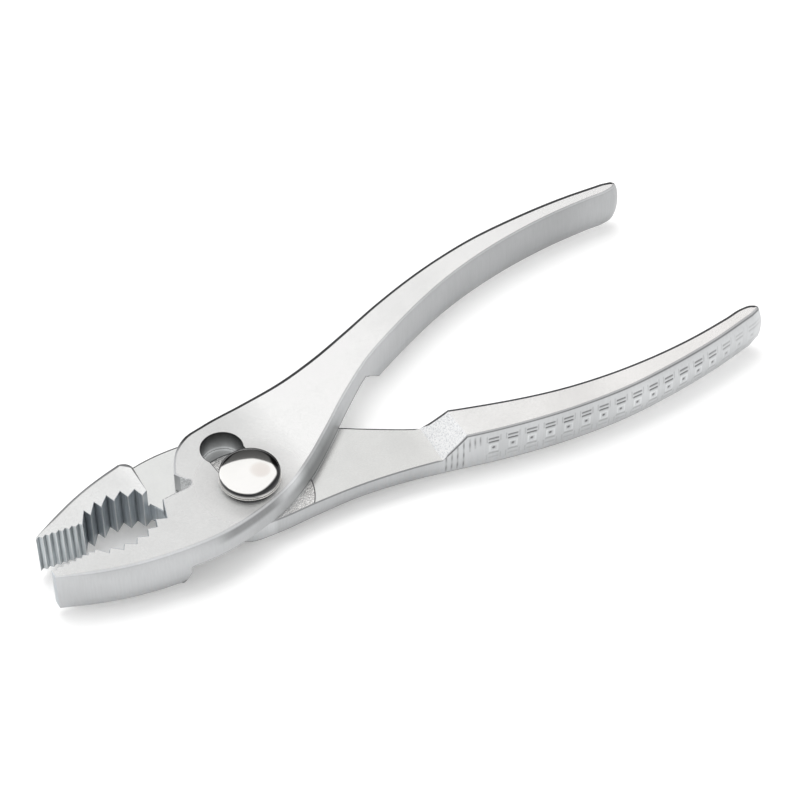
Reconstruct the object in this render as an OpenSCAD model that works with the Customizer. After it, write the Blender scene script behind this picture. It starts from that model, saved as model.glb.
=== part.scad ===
// Slip joint pliers, 165 mm long, lying flat with the jaws and handles part open.
// Two forgings of one shape cross at the joint, the lower one turned upside down.
// The upper one has a two-position slot, the lower one a flatted hole that keys the bolt.
// X runs along the tool towards the handle ends and Z is up.
// The origin is on the bolt's axis at its lower end, where the tool rests on the nut.

/* [Forgings] */
// Distance from the bolt axis to the handle ends, along the tool
handle_len = 118.2; // [100:0.1:140]
// Distance from the bolt axis to the nose of the jaws
jaw_len = 45.4; // [42:0.1:52]
// Greatest height of a handle's outer edge over the bolt axis
handle_bow = 34.3; // [32:0.1:40]
// Greatest depth of a jaw's back under the bolt axis
jaw_back = 8.7; // [7.5:0.1:10.5]
// Rise of the joint's front edge over the bolt axis
joint_rise = 19.1; // [18.2:0.1:20.5]
// Thickness of the jaws and handles
body_t = 9.9; // [8:0.1:12]
// Bulge of the forged side walls at half thickness
draft = 1.1; // [0.4:0.05:1.3]
// Radius of the lower corner at each handle end
heel_r = 4.6; // [2:0.1:5]

/* [Jaws] */
// Height of the fine teeth's line over the bolt axis, at the pipe grip
bite_y = 2.3; // [1.8:0.05:2.6]
// Number of fine teeth
fine_n = 7; // [3:1:12]
// Depth of the fine teeth
fine_h = 0.6; // [0.2:0.05:0.7]
// Distance from the bolt axis to the pipe grip's first tooth
grip_x = 21.25; // [20.8:0.05:22]
// Length of the pipe grip between its end teeth
grip_w = 14; // [12:0.1:15]
// Depth of the pipe grip's hollow under the line of the fine teeth
grip_sag = 2.1; // [1.4:0.05:2.4]
// Number of coarse teeth in the pipe grip
coarse_n = 5; // [3:1:8]
// Depth of the slotted half's coarse teeth
slotted_coarse_h = 1.5; // [0.8:0.05:2]
// Depth of the keyed half's coarse teeth
keyed_coarse_h = 2.1; // [0.8:0.05:2.2]

/* [Joint] */
// Gap between the two machined lap faces
lap_gap = 0.06; // [0.02:0.01:0.2]
// Distance from the bolt axis to the shoulder behind the jaws
shoulder_x = 18.9; // [18.5:0.1:19.3]
// Lean of the shoulder, in plan, between the jaw's back and its teeth
shoulder_lean = 1; // [0:0.1:1.2]
// Radius of the shoulder's corner at the jaw's back
shoulder_r = 2.8; // [0.8:0.1:3.2]
// Distance from the joint to the foot of the handles' ramps
ramp_x = 40.2; // [40:0.1:42]
// Length of the ramps
ramp_len = 5.5; // [4:0.1:9]
// Turn of the ramps in plan, in degrees
ramp_turn = 6; // [0:1:10]
// Radius of the relief groove round the bolt, on the keyed half's lap face
relief_r = 13.2; // [11:0.1:14.5]
// Width of the relief groove
relief_w = 0.5; // [0.3:0.05:1]
// Depth of the relief groove
relief_h = 0.4; // [0.2:0.05:0.8]
// Distance between the two positions of the slot
slip = 11.2; // [10:0.1:11.6]
// How far the keyed half lies towards the handles, against a true mirror image
keyed_shift = 1; // [0.4:0.1:1.6]
// Height over the bolt axis of the line about which the halves mirror each other
mirror_y = 5.72; // [5.6:0.02:5.9]

/* [Bolt, washer and nut] */
// Diameter of the bolt's shank
shank_d = 8.8; // [8.2:0.1:9]
// Width of the shank across its two flats
flats_w = 7.9; // [7:0.1:8]
// Running clearance round the shank and its flats
fit_gap = 0.05; // [0.03:0.01:0.09]
// Diameter of the bolt's threaded end
thread_d = 6; // [5:0.1:6.4]
// Diameter of the bolt head
head_d = 12.9; // [12:0.1:14]
// Height of the bolt head's straight rim
rim_h = 1.4; // [0.8:0.1:2]
// Height of the bolt head's crown over its rim
crown_h = 2.35; // [1.2:0.05:3]
// Diameter of the washer
washer_d = 13.1; // [12.2:0.1:14.4]
// Thickness of the washer
washer_t = 1.5; // [0.8:0.1:2]
// Width of the nut across its flats
nut_af = 10; // [9:0.1:12]
// Thickness of the nut
nut_t = 2.4; // [2:0.1:3.5]
// Chamfer on the bolt's end, the washer and the nut's corners
edge_c = 0.4; // [0.2:0.05:0.6]

/* [Hidden] */
cut = 1;
round_fn = 96;
curve_steps = 3;
mid_z = nut_t + body_t / 2;
top_z = nut_t + body_t;
washer_top = top_z + washer_t;
shank_hole_d = shank_d + 2 * fit_gap;
flats_hole_w = flats_w + 2 * fit_gap;
steel = [0.82, 0.83, 0.83];
keyed_steel = [0.74, 0.76, 0.78];
polished = [0.92, 0.91, 0.89];

// One forging seen from above, as shares of the sizes that its edges follow. A third
// share, where there is one, is how much of the draft the edge bulges by at half thickness.
// The jaw's back from the nose to the joint: x of jaw_len, y of jaw_back.
back_shares = [[-0.863, -0.305, 0.8], [-0.698, -0.63, 1], [-0.474, -0.895, 1.2],
    [-0.278, -1, 1.2], [-0.057, -0.89, 1]];
// The handle's inner edge and its round end: x of handle_len, y of handle_bow.
inner_shares = [[0.053, -0.155, 0.9], [0.116, -0.039, 1], [0.177, 0.102, 0.9],
    [0.254, 0.289, 0.6], [0.338, 0.464, 0.1], [0.423, 0.592, 0.3], [0.592, 0.784, 0.4],
    [0.761, 0.87, 0.5], [0.846, 0.879, 0.6], [0.931, 0.866, 0.7], [0.975, 0.855, 0.8],
    [0.993, 0.868, 0.9], [1, 0.895, 1], [0.996, 0.918, 1.1]];
// Back along the handle's outer edge, in the same sizes.
outer_shares = [[0.978, 0.936, 1.2], [0.888, 0.977, 1.3], [0.761, 1, 1.2],
    [0.677, 0.996, 0.9], [0.592, 0.964, 0.5], [0.423, 0.834, 0.3], [0.338, 0.741, 0.6],
    [0.254, 0.656, 0.9], [0.169, 0.596, 1], [0.085, 0.573, 0.7]];
// The front edge of the joint down to the wire cutter: x of jaw_len, y of joint_rise.
front_shares = [[0, 1, 0.5], [-0.112, 0.953, 0.3], [-0.187, 0.822, 0.2],
    [-0.244, 0.634, 0.1], [-0.262, 0.555, 0]];
// The wire cutter's notch and the end wall of the pipe grip, in the same sizes.
notch_shares = [[-0.249, 0.482], [-0.217, 0.382], [-0.229, 0.33], [-0.26, 0.317],
    [-0.341, 0.319], [-0.383, 0.314], [-0.386, 0.288], [-0.401, 0.194], [-0.423, 0.068]];
// Outer and inner corner of each nose: x of jaw_len, y of jaw_back.
slotted_nose_shares = [[-1, 0.046], [-0.996, 0.287]];
keyed_nose_shares = [[-0.98, -0.03], [-0.989, 0.05]];
// Depth of the jaw's back at the shoulder, as a share of jaw_back.
shoulder_back_share = 0.92;
// Place of a tooth's root between its own tip and the next one's, towards the nose.
slotted_root_share = 0.3;
keyed_root_share = 0.2;
fine_root_share = 0.4;

function scaled(table, sx, sy) =
    [for (p = table) [p[0] * sx, p[1] * sy, len(p) > 2 ? p[2] * draft : 0]];
function unit(v) = v / norm(v);

// Smooth curve through the points p. It passes each point along the mean of the two
// chords that meet there, the shorter one counting more, in a cubic between points.
function heading(p, i) =
    i == 0 ? unit(p[1] - p[0]) :
    i == len(p) - 1 ? unit(p[i] - p[i - 1]) :
    unit(unit(p[i] - p[i - 1]) * norm(p[i + 1] - p[i])
        + unit(p[i + 1] - p[i]) * norm(p[i] - p[i - 1]));
function cubic(a, b, ta, tb, t) =
    (2 * t ^ 3 - 3 * t ^ 2 + 1) * a + (t ^ 3 - 2 * t ^ 2 + t) * ta
    + (3 * t ^ 2 - 2 * t ^ 3) * b + (t ^ 3 - t ^ 2) * tb;
function smooth(p) = concat(
    [for (i = [0 : len(p) - 2], k = [0 : curve_steps - 1])
        let (span = norm(p[i + 1] - p[i]))
        cubic(p[i], p[i + 1], heading(p, i) * span, heading(p, i + 1) * span,
            k / curve_steps)],
    [p[len(p) - 1]]);

// Coarse teeth: tips on an arc that hollows the jaw, each root straight behind a point
// of the chord from its own tip to the next one.
grip_r = (grip_w ^ 2 / 4 + grip_sag ^ 2) / (2 * grip_sag);
grip_half = asin(grip_w / 2 / grip_r);
grip_mid = [-grip_x - grip_w / 2, bite_y - grip_sag + grip_r, 0];
function grip_tip(i) =
    let (turn = grip_half * (1 - 2 * i / coarse_n))
    grip_mid + grip_r * [sin(turn), -cos(turn), 0];
function coarse_teeth(depth, root_share) = concat(
    [for (i = [0 : coarse_n - 1], root = [0, 1])
        grip_tip(i) + root * (root_share * (grip_tip(i + 1) - grip_tip(i)) - [0, depth, 0])],
    [grip_tip(coarse_n)]);

// Fine teeth: a straight row from the pipe grip's last tooth to the nose.
function fine_teeth(nose_tip) =
    let (start = [-grip_x - grip_w, bite_y, 0], pitch = (nose_tip - start) / fine_n)
    [for (i = [0 : fine_n - 1], root = [1, 0])
        start + (i + (root == 1 ? fine_root_share : 1)) * pitch - [0, root * fine_h, 0]];

// The whole outline, counter-clockwise from the nose: forged edges, then cut ones.
function outline(nose, depth, root_share) = concat(
    smooth(concat([nose[0]], scaled(back_shares, jaw_len, jaw_back),
        scaled(inner_shares, handle_len, handle_bow))),
    smooth(concat(scaled(outer_shares, handle_len, handle_bow),
        scaled(front_shares, jaw_len, joint_rise))),
    scaled(notch_shares, jaw_len, joint_rise), coarse_teeth(depth, root_share),
    fine_teeth(nose[1]));

// The outline at height z over the lap plane, moved outwards by its bulge there.
function level_points(edge, z) =
    let (n = len(edge), bulge_share = 1 - abs(z) / (body_t / 2))
    [for (i = [0 : n - 1])
        let (along = edge[(i + 1) % n] - edge[(i + n - 1) % n],
            moved = edge[i][2] * bulge_share * unit([along[1], -along[0]]))
        [edge[i][0] + moved[0], edge[i][1] + moved[1], z]];

// Forging of full thickness, centred on the lap plane. The walls run on past both
// faces to a point over and under the bolt, and a slab cuts them off flat.
module blank(nose, depth, root_share) {
    edge = outline(nose, depth, root_share);
    n = len(edge);
    past = body_t / 2 + cut;
    points = concat(level_points(edge, -past), level_points(edge, 0),
        level_points(edge, past), [[0, 0, -2 * body_t], [0, 0, 2 * body_t]]);
    walls = [for (level = [0, n], i = [0 : n - 1], side = [0, 1])
        let (a = level + i, b = level + (i + 1) % n)
        side == 0 ? [a, a + n, b + n] : [a, b + n, b]];
    ends = [for (i = [0 : n - 1], side = [0, 1])
        let (a = side * 2 * n + i, b = side * 2 * n + (i + 1) % n)
        side == 0 ? [a, b, 3 * n] : [b, a, 3 * n + 1]];
    intersection() {
        polyhedron(points, concat(walls, ends), convexity = 10);
        translate([-2 * jaw_len, -2 * handle_bow, -body_t / 2])
        cube([2 * jaw_len + 2 * handle_len, 4 * handle_bow, body_t]);
    }
}

// Room for the other forging: under the lap face, from the shoulder to the ramp.
module lap_room() {
    far = handle_len;
    corner = [-shoulder_x - shoulder_r, shoulder_r - jaw_back * shoulder_back_share];
    intersection() {
        translate([0, 0, -body_t])
        linear_extrude(body_t + lap_gap / 2)
        polygon(concat([[corner[0], -far], [far, -far], [far, far],
            [-shoulder_x - shoulder_lean, far], [-shoulder_x - shoulder_lean, bite_y]],
            [for (turn = [0 : 15 : 90]) corner + shoulder_r * [cos(turn), -sin(turn)]]));
        rotate([0, 0, ramp_turn])
        rotate([90, 0, 0])
        linear_extrude(4 * far, center = true)
        polygon([[-far, -body_t], [ramp_x + 2 * ramp_len, -body_t], [ramp_x, 0],
            [ramp_x, body_t], [-far, body_t]]);
    }
}

// Rounds the corner of the handle end that faces down, seen from the side.
module heel_cut() {
    translate([handle_len + draft - heel_r, handle_bow, heel_r - body_t / 2])
    rotate([90, 0, 0])
    linear_extrude(handle_bow, center = true)
    difference() {
        translate([0, -heel_r - cut])
        square([heel_r + cut, heel_r + cut]);
        circle(heel_r, $fn = round_fn);
    }
}

// Round bar with two flats across the slip direction, standing on the plane z = 0.
module flatted_bar(d, w, h) {
    intersection() {
        cylinder(h = h, d = d, $fn = round_fn);
        translate([-w / 2, -d, 0])
        cube([w, 2 * d, h]);
    }
}

module slotted_half() {
    deep = body_t + 2 * cut;
    color(steel)
    translate([0, 0, mid_z])
    difference() {
        blank(scaled(slotted_nose_shares, jaw_len, jaw_back), slotted_coarse_h,
            slotted_root_share);
        lap_room();
        heel_cut();
        for (y = [0, slip])
            translate([0, y, 0])
            cylinder(h = deep, d = shank_hole_d, center = true, $fn = round_fn);
        translate([0, slip / 2, 0])
        cube([flats_hole_w, slip, deep], center = true);
    }
}

module keyed_half() {
    color(keyed_steel)
    difference() {
        translate([keyed_shift, 2 * mirror_y, mid_z])
        rotate([180, 0, 0])
        difference() {
            blank(scaled(keyed_nose_shares, jaw_len, jaw_back), keyed_coarse_h,
                keyed_root_share);
            lap_room();
            mirror([0, 0, 1])
            heel_cut();
        }
        translate([0, 0, nut_t - cut])
        flatted_bar(shank_hole_d, flats_hole_w, body_t);
        translate([0, 0, mid_z - lap_gap / 2 - relief_h])
        difference() {
            cylinder(h = relief_h + cut, r = relief_r + relief_w / 2, $fn = round_fn);
            cylinder(h = relief_h + cut, r = relief_r - relief_w / 2, $fn = round_fn);
        }
    }
}

// Domed head over the washer, flatted shank and threaded end, in one piece.
module pivot_bolt() {
    crown_n = 12;
    color(polished)
    union() {
        translate([0, 0, washer_top])
        rotate_extrude($fn = round_fn)
        polygon(concat([[0, 0], [head_d / 2, 0]],
            [for (k = [0 : crown_n]) let (rise = 90 * k / crown_n)
                [head_d / 2 * cos(rise), rim_h + crown_h * sin(rise)]]));
        translate([0, 0, nut_t])
        flatted_bar(shank_d, flats_w, washer_top - nut_t + rim_h / 2);
        rotate_extrude($fn = round_fn)
        polygon([[0, 0], [thread_d / 2 - edge_c, 0], [thread_d / 2, edge_c],
            [thread_d / 2, nut_t + edge_c], [0, nut_t + edge_c]]);
    }
}

module washer() {
    color(polished)
    translate([0, 0, top_z])
    rotate_extrude($fn = round_fn)
    polygon([[shank_hole_d / 2, 0], [washer_d / 2, 0], [washer_d / 2, washer_t - edge_c],
        [washer_d / 2 - edge_c, washer_t], [shank_hole_d / 2, washer_t]]);
}

module pivot_nut() {
    color(steel)
    difference() {
        intersection() {
            cylinder(h = nut_t, d = nut_af / cos(30), $fn = 6);
            rotate_extrude($fn = round_fn)
            polygon([[0, 0], [nut_af / 2, 0], [nut_af / 2 + 2 * edge_c, edge_c],
                [nut_af / 2 + 2 * edge_c, nut_t], [0, nut_t]]);
        }
        translate([0, 0, -cut])
        cylinder(h = nut_t + 2 * cut, d = thread_d + 2 * fit_gap, $fn = round_fn);
    }
}

slotted_half();
keyed_half();
pivot_bolt();
washer();
pivot_nut();
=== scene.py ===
"""Slip joint pliers lying part open on a pale floor, seen from the nose end."""

import logging
import math
from dataclasses import asdict, dataclass, field
from enum import Enum
from functools import reduce

import bmesh
import bpy
import numpy as np
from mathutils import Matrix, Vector
from mathutils.geometry import tessellate_polygon


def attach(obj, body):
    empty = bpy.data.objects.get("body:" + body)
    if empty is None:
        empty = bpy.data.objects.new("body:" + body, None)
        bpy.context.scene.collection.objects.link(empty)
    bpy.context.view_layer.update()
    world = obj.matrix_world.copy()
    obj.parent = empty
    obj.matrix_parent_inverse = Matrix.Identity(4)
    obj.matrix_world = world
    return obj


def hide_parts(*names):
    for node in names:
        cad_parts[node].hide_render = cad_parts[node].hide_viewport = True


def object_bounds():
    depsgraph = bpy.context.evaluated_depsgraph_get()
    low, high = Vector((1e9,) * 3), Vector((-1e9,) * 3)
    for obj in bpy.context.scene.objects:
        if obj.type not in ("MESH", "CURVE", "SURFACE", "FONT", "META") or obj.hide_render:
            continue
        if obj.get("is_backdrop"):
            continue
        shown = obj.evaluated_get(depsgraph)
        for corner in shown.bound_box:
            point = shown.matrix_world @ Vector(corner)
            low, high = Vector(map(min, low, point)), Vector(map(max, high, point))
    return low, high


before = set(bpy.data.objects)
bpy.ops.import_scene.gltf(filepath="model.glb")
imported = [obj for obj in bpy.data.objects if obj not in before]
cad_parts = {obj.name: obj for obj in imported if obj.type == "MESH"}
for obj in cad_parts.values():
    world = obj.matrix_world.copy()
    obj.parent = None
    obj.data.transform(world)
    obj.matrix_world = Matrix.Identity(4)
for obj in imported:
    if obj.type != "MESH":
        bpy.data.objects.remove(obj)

log = logging.getLogger("pliers")
MM = 0.001
CAD_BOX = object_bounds()

Table = list[list[float]]
Pair = tuple[float, float]
Four = tuple[float, float, float, float]
Place = tuple[float, float, float]
Colour = tuple[float, float, float]
Stops = tuple[Pair, ...]
Socket = bpy.types.NodeSocket

# Height of the plane in which the two halves meet.
JOINT_Z = 7.35
# The level direction from the near side of the tool as it lies to its far side.
FAR_X, FAR_Y = 0.5657, 0.8246
# Values that a mesh's points carry, each with its value on a plain wall: the painted shade of
# stamped marks, the teeth's ridges for their painted highlight and shade, how dark a painted
# line is, and the tone that carries painted light and shade.
POINT_VALUES = {"recess": 0.0, "ridge": 0.5, "rim": 0.0, "tone": 1.0}
# Angles of the four levels of a rounded edge.
EDGE_ARC = np.radians([22, 45, 68, 90])
# Levels of a straight wall under its rounded edge.
WALL_ROWS = 28
# Metres within which points of a mesh become one, and the angle from which an edge is crisp.
WELD = 2e-6
CRISP = math.radians(28)


class Zone(Enum):
    """The kinds of surface on a forged half, each with its own finish."""

    WALL = "wall"
    POLISH = "polish"
    TEETH = "teeth"
    FINE = "fine"
    BLAST = "blast"
    LAP = "lap"


# The outline's zones by number, and the share of the rounded edge that each keeps.
OUTLINE_ZONES = np.array([Zone.WALL, Zone.BLAST, Zone.TEETH, Zone.FINE], dtype=object)
EDGE_SHARES = np.array([1.0, 0.5, 0.35, 0.3])


# Curves


def unit_rows(v: np.ndarray) -> np.ndarray:
    """Each row of v divided by its length."""
    return v / np.maximum(np.linalg.norm(v, axis=-1, keepdims=True), 1e-9)


def turned_right(way: np.ndarray) -> np.ndarray:
    """Level directions turned a quarter clockwise: outwards, on an anticlockwise outline."""
    return np.stack([way[:, 1], -way[:, 0]], axis=1)


def eased(x: np.ndarray, low: float, high: float) -> np.ndarray:
    """0 below low, 1 above high and a smooth S between them."""
    t = np.clip((x - low) / (high - low), 0, 1)
    return t * t * (3 - 2 * t)


def band(x: np.ndarray, rise: float, full: float, fall: float, end: float) -> np.ndarray:
    """1 from full to fall, 0 before rise and after end, with smooth steps between."""
    return eased(x, rise, full) * (1 - eased(x, fall, end))


def smooth_curve(knots: np.ndarray, steps: int = 40) -> np.ndarray:
    """A smooth curve through the knots.

    Between two knots it is the cubic whose end slopes are the weighted mean of the two chords
    that meet there, the shorter chord counting more. Columns after the second ride along.

    Args:
        knots: Points in order, one a row.
        steps: Points made in each span.

    Returns:
        The curve's points, one a row.
    """
    chord = knots[1:, :2] - knots[:-1, :2]
    span = np.linalg.norm(chord, axis=1, keepdims=True)
    way = chord / span
    mean = unit_rows(way[:-1] * span[1:] + way[1:] * span[:-1])
    turn = np.vstack([way[:1], mean, way[-1:]])
    slope = np.gradient(knots[:, 2:], axis=0)
    leave = np.hstack([turn[:-1] * span, slope[:-1]])[:, None, :]
    arrive = np.hstack([turn[1:] * span, slope[1:]])[:, None, :]
    t = np.linspace(0, 1, steps, endpoint=False)[None, :, None]
    curve = (
        (2 * t**3 - 3 * t**2 + 1) * knots[:-1, None, :]
        + (t**3 - 2 * t**2 + t) * leave
        + (3 * t**2 - 2 * t**3) * knots[1:, None, :]
        + (t**3 - t**2) * arrive
    )
    return np.vstack([curve.reshape(-1, knots.shape[1]), knots[-1:]])


def full_turn(count: int) -> np.ndarray:
    """Evenly spaced angles round a full circle."""
    return np.linspace(0, 2 * np.pi, count, endpoint=False)


def on_circle(radius: float, angle: np.ndarray) -> np.ndarray:
    """Points at the given angles on a circle about the origin, one a row."""
    return radius * np.stack([np.cos(angle), np.sin(angle)], axis=1)


def flatted_circle(radius: float, half: float, steps: int) -> np.ndarray:
    """A circle with two flats square to X.

    Args:
        radius: The circle's radius.
        half: Distance of each flat from the middle.
        steps: Points on each of the two round stretches.

    Returns:
        The outline's points, anticlockwise, one a row.
    """
    lean = math.acos(half / radius)
    side = np.linspace(lean, math.pi - lean, steps)
    return on_circle(radius, np.append(side, side + math.pi))


def arc_profile(centre: Pair, radii: Pair, low: float, high: float, count: int) -> Table:
    """Points of an ellipse's arc in the radius and height plane, between two angles in degrees."""
    t = np.radians(np.linspace(low, high, count))
    return np.stack([centre[0] + radii[0] * np.cos(t), centre[1] + radii[1] * np.sin(t)], axis=1).tolist()


# Shells


@dataclass
class Shell:
    """Points and faces of one closed surface, gathered before they become a mesh."""

    points: list[np.ndarray] = field(default_factory=list)
    values: dict[str, list[np.ndarray]] = field(default_factory=lambda: {key: [] for key in POINT_VALUES})
    faces: list[list[int]] = field(default_factory=list)
    zones: list[Zone] = field(default_factory=list)
    smooth: list[bool] = field(default_factory=list)
    count: int = 0

    def add_points(self, grid: np.ndarray, **given: np.ndarray | float) -> np.ndarray:
        """Adds a grid of points.

        Args:
            grid: Points in millimetres, shape (..., 3).
            given: Values by name, painted light and shade among them, each of a shape that spreads
            over the grid's. Those left out keep their value on a plain wall.

        Returns:
            The points' numbers, shape (...).
        """
        shape = grid.shape[:-1]
        self.points.append(grid.reshape(-1, 3))
        for key, plain in POINT_VALUES.items():
            self.values[key].append(np.broadcast_to(given.get(key, plain), shape).reshape(-1))
        numbers = self.count + np.arange(math.prod(shape)).reshape(shape)
        self.count += numbers.size
        return numbers

    def add_quads(self, grid: np.ndarray, closed: bool, zones: np.ndarray | None = None) -> None:
        """Fills a grid of point numbers with four-cornered faces.

        Args:
            grid: Point numbers, one row a level.
            closed: Whether the last column joins the first.
            zones: The zone of each column's faces. All are plain wall if it is left out.
        """
        after = np.roll(grid, -1, axis=1)
        quads = np.stack([grid[:-1], after[:-1], after[1:], grid[1:]], axis=-1)
        if not closed:
            quads = quads[:, :-1]
        rows, columns = quads.shape[:2]
        row_zones = [Zone.WALL] * columns if zones is None else list(zones[:columns])
        self.faces += quads.reshape(-1, 4).tolist()
        self.zones += row_zones * rows
        self.smooth += [True] * (rows * columns)

    def add_cap(self, loop: np.ndarray, zone: Zone, hole: np.ndarray | None = None) -> None:
        """Closes a loop of point numbers with flat-shaded faces.

        Args:
            loop: The loop's point numbers in order.
            zone: The zone of the faces.
            hole: Point numbers of a hole in the loop, if there is one.
        """
        fill = [loop.tolist()]
        if hole is not None:
            every = np.concatenate(self.points)
            rings = [[Vector(p) for p in every[ring]] for ring in (loop, hole)]
            fill = np.concatenate([loop, hole])[np.array(tessellate_polygon(rings))].tolist()
        self.faces += fill
        self.zones += [zone] * len(fill)
        self.smooth += [False] * len(fill)

    def add_turned(self, profile: Table, count: int, rim: np.ndarray | float = 0.0) -> None:
        """Adds a surface of revolution about the upright axis.

        Each point of the profile is carried round the axis: x is its radius times the cosine of
        the angle and y its radius times the sine.

        Args:
            profile: Radius and height of each point.
            count: Steps round the axis.
            rim: How dark the painted shade is at each point, of a shape that spreads over (points, steps).
        """
        r, z = np.array(profile, dtype=float).T[:, :, None]
        angle = full_turn(count)
        grid = np.stack(np.broadcast_arrays(r * np.cos(angle), r * np.sin(angle), z), axis=-1)
        self.add_quads(self.add_points(grid, rim=rim), True)

    def to_object(self, name: str, place: np.ndarray) -> bpy.types.Object:
        """Makes the shell a mesh object, welded, facing outwards and with crisp edges.

        Args:
            name: The object's name.
            place: 4 x 4 matrix from the shell's own frame to the part's, in millimetres.

        Returns:
            The object, linked to the scene, at the origin and untransformed.
        """
        points = np.concatenate(self.points) @ place[:3, :3].T + place[:3, 3]
        mesh = bpy.data.meshes.new(name)
        mesh.from_pydata((points * MM).tolist(), [], self.faces)
        mesh.polygons.foreach_set("use_smooth", self.smooth)
        for key, rows in self.values.items():
            layer = mesh.attributes.new(key, "FLOAT", "POINT")
            layer.data.foreach_set("value", np.concatenate(rows).astype(np.float32))
        for zone in Zone:
            layer = mesh.attributes.new(zone.value, "FLOAT", "FACE")
            mask = np.array([z is zone for z in self.zones], dtype=np.float32)
            layer.data.foreach_set("value", mask)
        work = bmesh.new()
        work.from_mesh(mesh)
        bmesh.ops.remove_doubles(work, verts=work.verts, dist=WELD)
        bmesh.ops.dissolve_degenerate(work, dist=WELD / 2, edges=work.edges)
        bmesh.ops.recalc_face_normals(work, faces=work.faces)
        open_edges = sum(1 for edge in work.edges if not edge.is_manifold)
        # The faces' own smooth marks are kept, and put back once the crisp edges are marked.
        smooth = [face.smooth for face in work.faces]
        work.to_mesh(mesh)
        work.free()
        mesh.set_sharp_from_angle(angle=CRISP)
        mesh.polygons.foreach_set("use_smooth", smooth)
        obj = bpy.data.objects.new(name, mesh)
        bpy.context.scene.collection.objects.link(obj)
        log.info("%s: %d faces, %d open edges", name, len(mesh.polygons), open_edges)
        return obj

    def to_piece(self, name: str, body: str, node: str, slot: str, place: np.ndarray) -> bpy.types.Object:
        """Makes the shell an object that rides its body in place of its CAD node.

        Args:
            name: The object's name.
            body: The body that it rides.
            node: The CAD node that it replaces.
            slot: The slot of its finish, which is not used.
            place: 4 x 4 matrix from the shell's own frame to the part's, in millimetres.

        Returns:
            The object.
        """
        obj = self.to_object(name, place)
        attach(obj, body)
        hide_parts(node)
        return obj


# The forgings


@dataclass(frozen=True)
class StampedPattern:
    """The grip pattern stamped into a handle's outer wall. Sizes are in millimetres.

    Cells stand in a row along the wall. Each has a dimple in a raised frame in its middle, two
    dashes over it and two under it, and a short groove on each side. Seven plain grooves stand
    on the neck before the first cell. A pair or a four holds the places between which a mark
    fades in and out, and a share is a mark's part of the full depth.
    """

    start_x: float = 37.5
    cell: float = 4.14
    first_cell: float = 48.66
    cells: int = 17
    cell_fade: Pair = (0.1, 0.25)
    depth: float = 0.17
    raised_share: float = 0.35
    dashes: Stops = ((2.75, 0.8), (1.75, 1.0), (-1.6, 0.45), (-2.85, 0.3))
    dash_half: Pair = (1.02, 1.2)
    dash_thick: Pair = (0.1, 0.29)
    dimple_r: Pair = (0.2, 0.44)
    frame_half: Pair = (0.95, 1.0)
    frame_line: Four = (0.68, 0.8, 0.95, 1.08)
    frame_share: float = 0.8
    side_along: Four = (1.3, 1.42, 1.5, 1.62)
    side_up: Four = (1.6, 1.9, 3.4, 3.6)
    side_share: float = 0.35
    worn_end: Pair = (98, 114)
    worn_end_share: float = 0.7
    worn_low: Pair = (-4.0, 1.0)
    worn_low_share: float = 0.35
    neck_x: tuple[float, ...] = (38.6, 39.8, 41.0, 42.3, 43.6, 44.7, 45.8)
    neck_low: tuple[float, ...] = (-4.1, -4.1, -4.1, -4.1, 0.6, 1.1, 1.6)
    neck_thick: Pair = (0.05, 0.24)
    neck_top: Pair = (3.9, 4.2)
    neck_fade: float = 0.3

    def relief(self, x: np.ndarray, z: np.ndarray) -> np.ndarray:
        """How deep the pattern is at each place.

        Args:
            x: Place along the handle.
            z: Height over the lap plane, upwards in use.

        Returns:
            0 on the plain wall, up to 1 at the bottom of a mark and under 0 on a raised frame.
        """
        nearest = np.clip(np.round((x - self.first_cell) / self.cell), 0, self.cells - 1)
        along, up = np.abs(x - self.first_cell - nearest * self.cell), np.abs(z)
        dash = 0 * x
        for height, weight in self.dashes:
            dash = np.maximum(dash, weight * (1 - eased(np.abs(z - height), *self.dash_thick)))
        dash = dash * (1 - eased(along, *self.dash_half))
        dimple = 1 - eased(np.hypot(along, z), *self.dimple_r)
        side = self.side_share * band(along, *self.side_along) * band(up, *self.side_up)
        frame_place = np.maximum(along / self.frame_half[0], up / self.frame_half[1])
        marks = np.maximum(np.maximum(dash, side), dimple)
        marks = marks - self.frame_share * band(frame_place, *self.frame_line)
        marks = marks * (1 - self.worn_end_share * eased(x, *self.worn_end))
        marks = marks * (1 - self.worn_low_share * (1 - eased(z, *self.worn_low)))
        low, high = self.cell_fade
        marks = marks * (1 - eased(along, self.cell / 2 + low, self.cell / 2 + high))
        neck = 0 * x
        for place, foot in zip(self.neck_x, self.neck_low):
            wave = 0.5 + 0.2 * np.sin(5.1 * place + 2.3 * z)
            across = 1 - eased(np.abs(x - place), *self.neck_thick)
            neck = np.maximum(neck, wave * across * band(z, foot - self.neck_fade, foot, *self.neck_top))
        return marks + neck


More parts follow.
